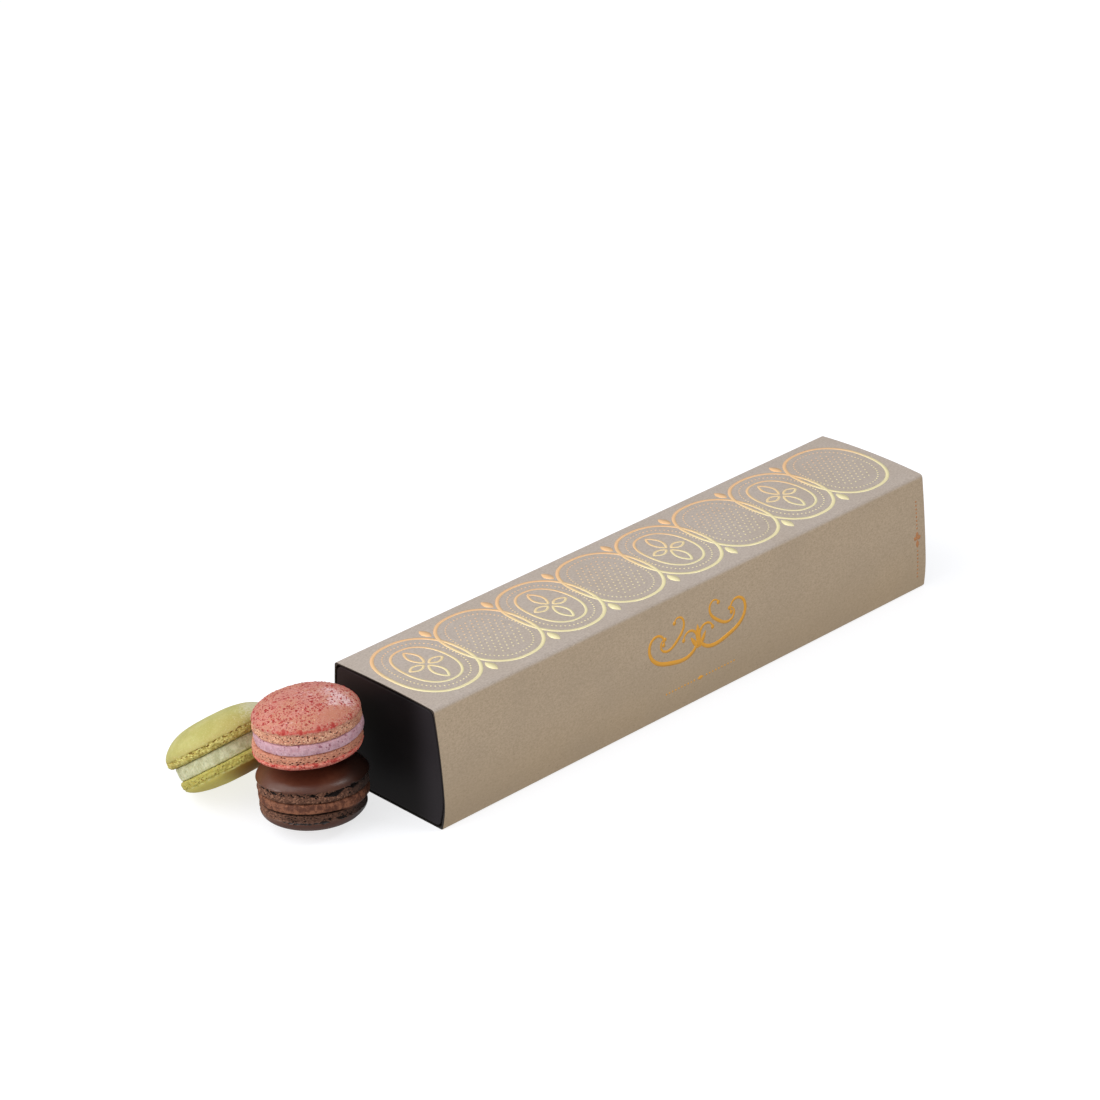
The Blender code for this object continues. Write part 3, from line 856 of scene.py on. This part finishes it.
def shell_surface(name, part):
    """A shell's grid of points in its own frame, with what its finish needs to know at each point.

    The outline is turned round the axis. The slow waves of the part's source put it out of round. Lumps,
    pits and cloudy noise then move each point along its outline's normal.
    """
    shell, upper = MACARONS[name][part], part == "top"
    look = column(FEET, 2 * NAMES.index(name) + (0 if upper else 1))
    seed = MACARONS[name]["seed"] + (0 if upper else 5)
    radius, height, relief, foot_mask = shell_rows(shell, look)
    slope = np.stack((np.gradient(height), -np.gradient(radius)), -1)
    slope /= np.linalg.norm(slope, axis=1, keepdims=True)
    angle = np.linspace(0, 2 * math.pi, COLUMNS, endpoint=False)[None, :]
    ring, up, foot_mask = radius[:, None], height[:, None] + 0 * angle, foot_mask[:, None]
    across, girth = angle * shell.radius + 0 * up, 2 * math.pi * shell.radius
    rim = shell.foot + DOME_RIM
    flat = spun(ring, up, angle)
    swell, pits = np.zeros(up.shape), np.zeros(up.shape)
    rows = slice(ROWS_BELOW_DOME)
    swell[rows] = lumps(across[rows], up[rows], girth, shell.foot, seed + 40, *look["lumps"])
    largest = look["lumps"][2]
    swell /= largest
    rows = slice(ROWS_BELOW_DOME + TORN_ROWS)
    places = pit_places(look, TORN[f"{name}_{part}"], shell.foot, girth, seed + 60)
    pits[rows] = hollows(across[rows] + look["tear"] * cloud(flat[rows], TEAR_GRAINS[0], seed + 3, 2),
                         up[rows] + 0.7 * look["tear"] * cloud(flat[rows], TEAR_GRAINS[1], seed + 5, 2),
                         girth, places)
    move = look["swell"] * largest * (swell - 0.6) * smooth(up, -0.0001, 0.0003)
    move = foot_mask * (move + look["grit"] * cloud(flat, GRIT_GRAIN, seed + 7, 2)) - pits
    for strength, grain, step in DOME_ROUGHNESS:
        move += (1 - foot_mask) * strength * cloud(flat, grain, seed + step, 2)
    wave = FOOT_RELIEF * relief[:, None]
    wider = 1 + OUT_OF_ROUND * waves(seed, (2, 3), angle)
    taller = 1 + UNEVEN_DOME * ring / radius.max() * waves(seed + 1, (1, 2), angle)
    out = ring * wider + wave * waves(seed + 2, FOOT_WAVES, angle)
    rise = np.where(up > 0, up * taller + LIP_SHARE * wave * waves(seed + 3, FOOT_WAVES, angle), 0)
    ragged = look["ragged"] * cloud(spun(ring, 0 * up, angle), RIM_GRAIN, seed, 2)
    rise += ragged * np.exp(-((up - rim) / RIM_REACH) ** 2)
    grid = spun(out + move * slope[:, :1], rise + move * slope[:, 1:], angle)
    return grid, {"foot": foot_mask + 0 * up, "hollow": np.clip(pits / DARK_DEPTH, 0, 1),
                  "lump": swell, "level": (up - rim) / MM}


def bearing_mask(grid, bearing, away, along, across):
    """A soft oval patch on a dome: its middle's bearing, distance from the axis and half sizes.

    It is exp(-(ahead / along) ** 2 - (aside / across) ** 2), in millimetres from its middle.
    """
    turn = math.radians(bearing)
    ahead = grid[..., 0] * math.cos(turn) + grid[..., 1] * math.sin(turn) - away * MM
    aside = grid[..., 1] * math.cos(turn) - grid[..., 0] * math.sin(turn)
    return np.exp(-(ahead / (along * MM)) ** 2 - (aside / (across * MM)) ** 2)


def soft_patches(local, places):
    """The sum of several soft patches, each with its weight."""
    return sum(weight * bearing_mask(local, *place) for *place, weight in places)


def facing(local, bearing):
    """The cosine of the angle round the axis between each point and a bearing in degrees."""
    return np.cos(np.arctan2(local[:, 1], local[:, 0]) - math.radians(bearing))


def macaron_pose(spec):
    """The matrix that stands a macaron at its centre, its axis tilted and turned towards a bearing."""
    bearing = math.radians(spec["towards"])
    axis = Vector((-math.sin(bearing), math.cos(bearing), 0.0))
    return Matrix.Translation(spec["centre"]) @ Matrix.Rotation(math.radians(spec["tilt"]), 4, axis)


def carried(points, matrix):
    """Points moved by a matrix, then pressed flat on the floor where they would reach below it."""
    matrix = np.array(matrix)
    moved = points @ matrix[:3, :3].T + matrix[:3, 3]
    moved[..., 2] = np.maximum(moved[..., 2], 0.0)
    return moved


def shell_piece(name, part, finish, patches):
    """One crust of a macaron, its patches worked out from its own frame."""
    spec = MACARONS[name]
    grid, values = shell_surface(name, part)
    side = 1 if part == "top" else -1
    place = Matrix.Translation((*spec[part].shift, side * spec["thickness"] / 2))
    if part == "bottom":
        place = place @ Matrix.Rotation(math.pi, 4, "X")
    local = capped(grid, 0, grid[-1, :, 2].mean())
    values = {key: np.append(value.ravel(), (value[0].mean(), value[-1].mean()))
              for key, value in values.items()}
    values.update({key: 0 * values["level"] for key in MASKS})
    values.update(patches(local, values["level"], part))
    values["place"] = local / MM
    points = carried(local, macaron_pose(spec) @ place)
    shape = (points, *grid_faces(*grid.shape[:2], poles=True))
    add_piece(f"{name}_{part}_crust", shape, finish, f"{name}_shell", [f"{name}_{part}_shell"], values)
    return points[:-2].reshape(grid.shape), grid


def filling_piece(name, finish):
    """The filling: a disc whose side swells out between the crusts, roughened by noise and upright streaks.

    A groove under its lower edge is deepest at the side that faces the viewer and to the left of it. Its
    lower edge may hang into the crust below. A grooved filling gets painted shade in the groove and on its
    right.
    """
    spec, looks = MACARONS[name], column(FILLINGS, NAMES.index(name))
    body, seed = spec["radius"], spec["seed"]
    rough, streak, groove, lower = (looks[key] for key in ("rough", "streak", "groove", "lower"))
    half = spec["thickness"] / 2 - looks["gap"]
    side = np.linspace(-1, 1, FILLING_ROWS)
    angle = np.linspace(0, 2 * math.pi, FILLING_COLUMNS, endpoint=False)[None, :]
    rounded = FILLING_EDGE * (np.maximum(np.abs(side) - 0.8, 0) / 0.2) ** 2
    swollen = body + looks["bulge"] * (1 - side ** 2) - rounded
    radius = np.concatenate(((0.5 * body, 0.85 * body), swollen, (0.85 * body, 0.5 * body)))[:, None]
    height = np.concatenate(((-half, -half), half * side, (half, half)))
    height = np.where(height < 0, height * (1 + lower / half), height)[:, None] + 0 * angle
    flat = spun(radius, height, angle)
    shown = smooth(radius, 0.9 * body, 0.97 * body)
    broad, fine, upright = FILLING_GRAINS
    move = rough * (cloud(flat, broad, seed + 30, 3) + 0.5 * cloud(flat, fine, seed + 33, 2))
    move += streak * cloud(flat * (1, 1, 0.15), upright, 90, 2)
    drawn_in = 0.3 + 0.7 * smooth(np.cos(angle - math.radians(GROOVE_BEARING)), 0.1, 0.8)
    drawn_in = drawn_in * smooth(-height, 0.5 * half, half)
    # Painted shade on the right, which the box's black end darkens, and in the groove
    right = 0.6 * smooth(np.cos(angle - math.radians(RIGHT_BEARING)), 0.4, 0.95)
    move = shown * (move - groove * drawn_in)
    shade = np.sign(groove) * shown * np.maximum(smooth(drawn_in, 0.45, 0.8), right)
    out = radius * (1 + FILLING_SWELL * waves(seed + 9, FILLING_WAVES, angle)) + move
    grid = spun(out, height, angle)
    local = capped(grid, -half - lower, half)
    values = {"relief": move / (rough + streak), "shade": shade}
    values = {key: np.append(value.ravel(), (0, 0)) for key, value in values.items()}
    values["place"] = local / MM
    shape = (carried(local, macaron_pose(spec)), *grid_faces(*grid.shape[:2], poles=True))
    add_piece(f"{name}_cream", shape, finish, looks["slot"], [f"{name}_filling"], values)


def right_side(local, part, low=0.25, high=0.9):
    """How far a place on a crust faces the black end of the box, which keeps the light off it.

    A lower crust is built upside down, which mirrors its bearings.
    """
    return smooth(facing(local, -RIGHT_BEARING if part == "bottom" else RIGHT_BEARING), low, high)


def pink_patches(local, level, part):
    """Where the pink crust is powdered, partly a painted highlight, undusted and reddened, from the places
    that the photo shows.
    """
    # Painted shade where the foot and the lower crust face the box's black end
    dim = 0.40 * right_side(local, part)
    if part == "bottom":
        # The lower crust: its dome toned partly as painted light, painted shade on its foot
        level = level + 0.6
        return {"level": level, "under": smooth(level, -0.2, 0.4), "low": 1 + 0 * level, "dim": dim,
                "red": smooth(level, -0.9, 0.5) - 1, "band": 0.75 * smooth(level, -1.1, 0.4),
                "blot": soft_patches(local, LOW_BLOTS) * smooth(level, -0.5, 0.2)}
    on_dome = smooth(level, -0.2, 0.4)
    bare = bearing_mask(local, 268, 17.2, 3.4, 8.0)
    calm = 0.8 * bare + 0.45 * bearing_mask(local, 212, 18.2, 3.2, 11.0)
    band = smooth(facing(local, 232), 0.62, 0.92) * np.exp(-((level - 0.7) / 0.8) ** 2)
    blots = [(bearing, away, size, 1.3 * size, 1.0) for bearing, away, size in BLOTS]
    # The pale patches are partly powder, partly painted highlight
    return {"powder": np.minimum(soft_patches(local, POWDER_AND_HIGHLIGHT), 1) * on_dome, "bare": bare * on_dome,
            "dim": dim * (1 - on_dome), "red": smooth(level, -0.7, 0.3) - 1 - calm,
            "band": band + 0.15 * on_dome * (1 - bare),
            "blot": soft_patches(local, blots) * smooth(level, -0.3, 0.3)}


def brown_patches(local, level, part):
    """The brown crust gets painted light on the left. The lower foot's crumb reaches a little past the rim.
    """
    low = (1 if part == "bottom" else 0) + 0 * level
    left = smooth(facing(local, 218 if part == "bottom" else 143), 0.3, 0.9)
    level = level - 0.6 * low
    # Painted light on the left; painted shade by the box's black end and on the lower foot away from the
    # left
    return {"dim": 0.9 * right_side(local, part, 0.0, 0.75), "bare": left, "level": level,
            "under": low * smooth(level, -0.2, 1.6), "low": low * (1 - left)}


def green_patches(local, level, part):
    """The green dome: a painted highlight near its raised edge, painted shade by the foot, and a deeper tone
    underneath, partly painted light.
    """
    if part == "bottom":
        # Underneath: the dome toned partly as painted light, painted shade at its lower right and on the
        # foot
        under = smooth(level, -0.2, 0.8)
        return {"under": under, "low": 1 + 0 * level, "dim": smooth(facing(local, 85), 0.45, 0.95) * under}
    # Painted shade by the foot and beside the pink macaron, and a painted highlight near the raised edge
    bare = 0.8 * np.exp(-((level - 0.5) / 1.2) ** 2) + 0.9 * bearing_mask(local, 258, 20.6, 3.6, 9.0)
    return {"powder": bearing_mask(local, 305, 19.0, 5.0, 11.0), "bare": np.minimum(bare, 1)}


def raspberry_dust(made, skin, place, small):
    """Raspberry dust on a skin: specks of several sizes, a broken smear above the foot, and soft blots."""
    clump = made.step(made.noise(place, 2.6, 2.0), 0.34, 0.54) * 0.5 + 0.5
    shown = made.step(made.own("red"), -0.9, 0.0) * clump
    for grain, share, weight, tone in SPECKS:
        skin = made.mix(made.specks(place, grain, share) * shown * weight, skin, colour(*tone))
    smear = made.step(made.noise(place, 0.8, 4.0, 0.7) + made.own("band") * 0.28, 0.64, 0.80)
    blot = made.step(made.own("blot") + (small - 0.5) * 1.6, 0.45, 0.85)
    return made.layers(skin, (smear * 0.65, colour(*SMEAR)), (blot * 0.8, colour(*BLOT)))


def shell_finish(name, dust=None):
    """A crust: a mottled dome, deeper in tone underneath (partly painted light), over a porous foot with
    painted shade in its hollows.
    """
    looks = toned(column(CRUSTS, NAMES.index(name)))
    made = Finish(f"{name}_crust")
    place = made.place()
    fine = made.noise(place, 0.35, 3.0, 0.6)
    small = made.noise(place, 1.0, 3.0, 0.6)
    medium = made.noise(place, 1.6, 3.0, 0.55)
    broad = made.noise(place, 9.0, 2.0)
    # Painted light on the brown's left, painted shade on the green by its foot, and a lower dome toned
    # partly as painted light
    dome = made.layers(looks["dome"],
                       (made.step(broad * 0.6 + medium * 0.4, 0.38, 0.62), looks["dome_deep"]),
                       (made.own("bare") * looks["bare_and_painted_light_share"], looks["bare"]),
                       (made.own("under"), looks["under"]),
                       (made.step(fine, 0.40, 0.75) * looks["grain"], looks["dome_light"]))
    # Pale patches, partly painted highlight
    if looks["powder"]:
        powder = made.step(made.own("powder") + (small - 0.5) * 2.2 + (fine - 0.5) * 1.4, 0.15, 1.05)
        dome = made.mix(powder * looks["powder_and_highlight_share"], dome, looks["powder"])
    # The foot is lighter on its lumps and deeper between them, partly painted shade
    crumb = made.own("lump") + (fine - 0.5) * 1.0 + (small - 0.5) * 2.0
    # The lower crust's foot gets painted shade, and dark specks of the hollows' tone stand for tiny pits as
    # painted shade
    foot = made.layers(looks["foot_deep"], (made.step(crumb, 0.05, 0.90), looks["foot"]),
                       (made.own("low") * looks["foot_shade_share"], looks["foot_painted_shade"]),
                       (made.specks(place, 0.60, 0.30) * 0.5, looks["hollow"]))
    rise = made.own("level") + (small - 0.5) * looks["wander"]
    # Painted shade where the crust faces the box's black end
    skin = made.layers(foot, (made.step(rise, -0.30, 0.30), dome), (made.own("dim"), looks["dim"]))
    if dust:
        skin = dust(made, skin, place, small)
    # Painted shade in the hollows, full at the dark depth
    skin = made.mix(made.step(made.own("hollow") + (fine - 0.5) * 0.8, 0.20, 0.65), skin, looks["hollow"])
    dull = made.own("foot") * (0.92 - looks["roughness"]) + (fine - 0.5) * 0.12 + made.own("under") * 0.25
    made.coat(skin, dull + looks["roughness"], looks["sheen"])
    made.bump(fine * 0.7 + medium * 0.3, looks["bump"], 0.00025)
    made.glow(looks["glow"], (0.0012, 0.0006, 0.0004))
    return made


def cream_finish(name):
    """A filling: two tones by its own relief, darker where it dips (partly painted shade), and by soft
    clouds, with specks and short upright fibres.
    """
    looks = toned(column(FILLINGS, NAMES.index(name)))
    made = Finish(looks["finish"])
    place = made.place()
    fibre = made.noise(made.stretched(place, (1.0, 1.0, 0.4)), 0.60, 4.0, 0.70)
    fine = made.noise(place, 0.3, 2.0, 0.6)
    patch = made.noise(place, 2.6, 3.0, 0.6)
    weave = fibre * looks["fibre"] + fine * (1 - looks["fibre"])
    # Darker where the side dips in: partly painted shade
    tone = made.step((made.own("relief") * looks["relief"] + weave) * 0.7 + patch * 0.3, 0.36, 0.64)
    skin = made.mix(tone, looks["deep"], looks["light"])
    for grain in looks["speck_grains"]:
        skin = made.mix(made.specks(place, grain, looks["speck_share"]) * 0.75, skin, looks["speck"])
    # Painted shade in the groove and on the right
    skin = made.mix(made.own("shade"), skin, colour(*GROOVE_SHADE))
    made.coat(skin, fine * 0.2 + looks["roughness"], 0.25)
    made.bump(weave, looks["bump"], 0.0002)
    made.glow(looks["glow"], (0.0015, 0.0010, 0.0008))
    return made


def kraft_finish():
    """Kraft card: cloudy and fibrous browns, a cooler lid (painted light), a side darker low down (painted
    shade), and a darker, warmer cut edge.
    """
    made = Finish("kraft_card_fibres")
    tones = toned(KRAFT)
    spot = made.spot()
    height = made.part(spot, "Z")
    fibre = made.noise(made.stretched(spot, (0.25, 1.0, 1.0)), 0.35, 3.0, 0.6)
    fleck = made.noise(spot, 0.8, 3.0, 0.6)
    grain = made.step(fibre * 0.5 + fleck * 0.5, 0.36, 0.64)
    # The side darkens towards the bottom: painted shade
    side = made.layers(tones["side_dark"], (grain, tones["side_light"]),
                       ((1 - made.step(height, 1.0, 34.0)) * 0.45, tones["low"]))
    lid = made.mix(grain, tones["lid_dark"], tones["lid_light"])
    edge = made.mix(made.step(height, 2.0, 49.0), tones["cut_low"], tones["cut_high"])
    cloudy = made.step(made.noise(spot, 30.0, 2.0), 0.35, 0.65)
    # The lid's cooler tones are painted light
    card = made.layers(side, (made.own("lid"), lid), (cloudy * 0.20, tones["cloud"]),
                       (made.specks(spot, 0.9, 0.25) * 0.18, tones["speck"]),
                       (made.own("cut"), edge), (made.own("inside"), tones["inside"]))
    made.coat(card, fleck * 0.15 + 0.62)
    made.bump(fibre * 0.6 + fleck * 0.4, 0.25, 0.00008)
    return made


def black_finish():
    """Black card: nearly even, with fine fibres in its sheen, a little lighter to the front and the top:
    painted reflections.
    """
    made = Finish("black_card_matt")
    tones = toned(BLACK_CARD)
    spot = made.spot()
    across = made.part(spot, "Y")
    fibre = made.noise(spot, 0.4, 3.0, 0.6)
    # Painted reflections: lighter to the front, warmer at the top
    card = made.layers(tones["dark"], (made.step(fibre, 0.3, 0.7), tones["light"]),
                       (made.step(across * -1, 11.0, 27.0), tones["front"]),
                       (made.step(made.part(spot, "Z") + across * 0.6, 42.0, 60.0) * 0.8, tones["top"]))
    made.coat(card, fibre * 0.12 + 0.42, 0.10)
    made.bump(fibre, 0.15, 0.00006)
    return made


def foil_finish(name):
    """Pressed foil: its colour slides from the back edge to the front one, a painted reflection, and its
    sheen is uneven.
    """
    made = Finish(name)
    tones = toned(FOILS[name])
    spot = made.spot()
    # The colour's slide across the panel is a painted reflection
    slide = made.step(made.part(spot, "Y") + (made.noise(spot, 14.0) - 0.5) * 16, *tones["span"])
    made.coat(made.mix(slide, tones["front"], tones["back"]), made.noise(spot, 0.5) * 0.12 + 0.30)
    made.fix({"Metallic": 0.2})
    return made


def crumb_finish():
    """Dried raspberry crumbs: crimson, some darker and some nearer to pink."""
    made = Finish("raspberry_crumbs")
    tones = toned(CRUMB_TONES)
    luck = made.own("luck")
    made.wire("Base Color", made.layers(tones["dark"], (made.step(luck, 0.0, 0.6), tones["light"]),
                                        (made.step(luck, 0.88, 1.0), tones["pale"])))
    made.fix({"Roughness": 0.5})
    return made


def crumb_piece(part, world, local, finish):
    """Small crumbs pressed into the pink dome: flattened lumps of twenty faces at seeded places."""
    count = CRUMBS[part]
    draw = np.random.RandomState(70 + count)
    dome, flat = (points[ROWS_BELOW_DOME + 2:] for points in (world, local))
    normal = np.cross(np.roll(dome, -1, 1) - dome, np.gradient(dome, axis=0))
    area = np.linalg.norm(normal, axis=-1)
    normal /= np.maximum(area, 1e-12)[..., None]
    bare = bearing_mask(flat, 262, 17.2, 4.0, 9.0)
    rimmed = 0.4 + smooth(np.hypot(flat[..., 0], flat[..., 1]), 0.010, 0.020)
    weight = (area * (1.02 - bare) * rimmed).ravel()
    chosen = draw.choice(len(weight), count, replace=False, p=weight / weight.sum())
    middle = dome.reshape(-1, 3)[chosen]
    up = normal.reshape(-1, 3)[chosen]
    size = (0.00012 + 0.00034 * draw.uniform(0, 1, count) ** 3)[:, None]
    ball, faces = twenty_faces()
    side = np.cross(up, draw.normal(size=(count, 3)))
    side /= np.linalg.norm(side, axis=1, keepdims=True)
    lump = ball[None] * (1 + 0.25 * draw.uniform(-1, 1, (count, len(ball), 1)))
    stretch = draw.uniform(0.8, 1.5, (count, 1))
    axes = np.stack((side * stretch, np.cross(up, side), up * 0.4), 1) * size[..., None]
    points = middle[:, None] + lump @ axes
    triangles = faces[None] + (np.arange(count) * len(ball))[:, None, None]
    shape = (points.reshape(-1, 3), np.empty((0, 4), int), triangles.reshape(-1, 3))
    luck = np.repeat(draw.uniform(0, 1, count), len(ball))
    add_piece(f"pink_{part}_crumbs", shape, finish, "pink_shell", values={"luck": luck})


def twenty_faces():
    """The corners and faces of an icosahedron: the three golden rectangles' corners."""
    gold = (1 + math.sqrt(5)) / 2
    ring = [(-1, gold, 0), (1, gold, 0), (-1, -gold, 0), (1, -gold, 0)]
    corners = ring + [(z, x, y) for x, y, z in ring] + [(y, z, x) for x, y, z in ring]
    ball = np.array(corners) / math.hypot(1, gold)
    near = np.linalg.norm(ball[:, None] - ball[None], axis=-1) < 1.1
    found = []
    for i, j, k in itertools.combinations(range(12), 3):
        if near[i, j] and near[j, k] and near[i, k]:
            out = np.dot(np.cross(ball[j] - ball[i], ball[k] - ball[i]), ball[i]) > 0
            found.append((i, j, k) if out else (i, k, j))
    return ball, np.array(found)


def macarons():
    """The three macarons: two crusts and a filling each, and crumbs on the pink one."""
    patches = {"pink": pink_patches, "brown": brown_patches, "green": green_patches}
    crusts = {name: shell_finish(name, raspberry_dust if name == "pink" else None) for name in patches}
    crumbs = crumb_finish()
    for part in CRUMBS:
        for name in patches:
            world, local = shell_piece(name, part, crusts[name], patches[name])
            if name == "pink":
                crumb_piece(part, world, local, crumbs)
    for name in NAMES:
        filling_piece(name, cream_finish(name))


def box():
    """The sleeve, the tray and the foil print."""
    sleeve_card(kraft_finish())
    tray_card(black_finish())
    lid_print(foil_finish("lid_foil"))
    side_print(foil_finish("amber_foil"))
    strip_print(foil_finish("copper_foil"))


def studio():
    """A white floor that glows a little, under a white sky and soft lamps left, front, right and low."""
    mesh = bpy.data.meshes.new("studio_floor")
    corners = [(x * FLOOR_HALF, y * FLOOR_HALF, -FLOOR_DROP)
               for x, y in ((-1, -1), (1, -1), (1, 1), (-1, 1))]
    mesh.from_pydata(corners, [], [(0, 1, 2, 3)])
    floor = bpy.data.objects.new("studio_floor", mesh)
    bpy.context.scene.collection.objects.link(floor)
    made = Finish("floor_white")
    made.fix(FLOOR)
    mesh.materials.append(made.material)
    floor.visible_diffuse = False
    floor.visible_glossy = False
    world = bpy.data.worlds.new("studio_world")
    world.use_nodes = True
    sky = world.node_tree.nodes["Background"].inputs
    sky["Color"].default_value = (1.0, 1.0, 1.0, 1.0)
    sky["Strength"].default_value = SKY
    bpy.context.scene.world = world
    for name, facts in LAMPS.items():
        lamp(name, *facts)


def lamp(name, place, aim, size, power):
    """A square soft light that faces the place it is aimed at."""
    light = bpy.data.lights.new(name, "AREA")
    light.shape = "SQUARE"
    light.size = size
    light.energy = power
    made = bpy.data.objects.new(name, light)
    made.location = place
    made.rotation_euler = (Vector(aim) - Vector(place)).to_track_quat("-Z", "Y").to_euler()
    bpy.context.scene.collection.objects.link(made)


def camera():
    """The photo's view: the camera looks along its azimuth and down, and leans by its roll."""
    data = bpy.data.cameras.new("view_camera")
    data.lens = CAMERA_LENS
    data.sensor_width = 36.0
    data.clip_start = 0.01
    made = bpy.data.objects.new("view_camera", data)
    turn = Matrix.Translation(CAMERA_PLACE)
    for degrees, axis in ((-CAMERA_AZIMUTH, "Z"), (90 - CAMERA_DOWN, "X"), (CAMERA_ROLL, "Z")):
        turn = turn @ Matrix.Rotation(math.radians(degrees), 4, axis)
    made.matrix_world = turn
    bpy.context.scene.collection.objects.link(made)
    bpy.context.scene.camera = made
    bpy.context.scene.view_settings.view_transform = "Standard"


camera()
box()
macarons()
studio()
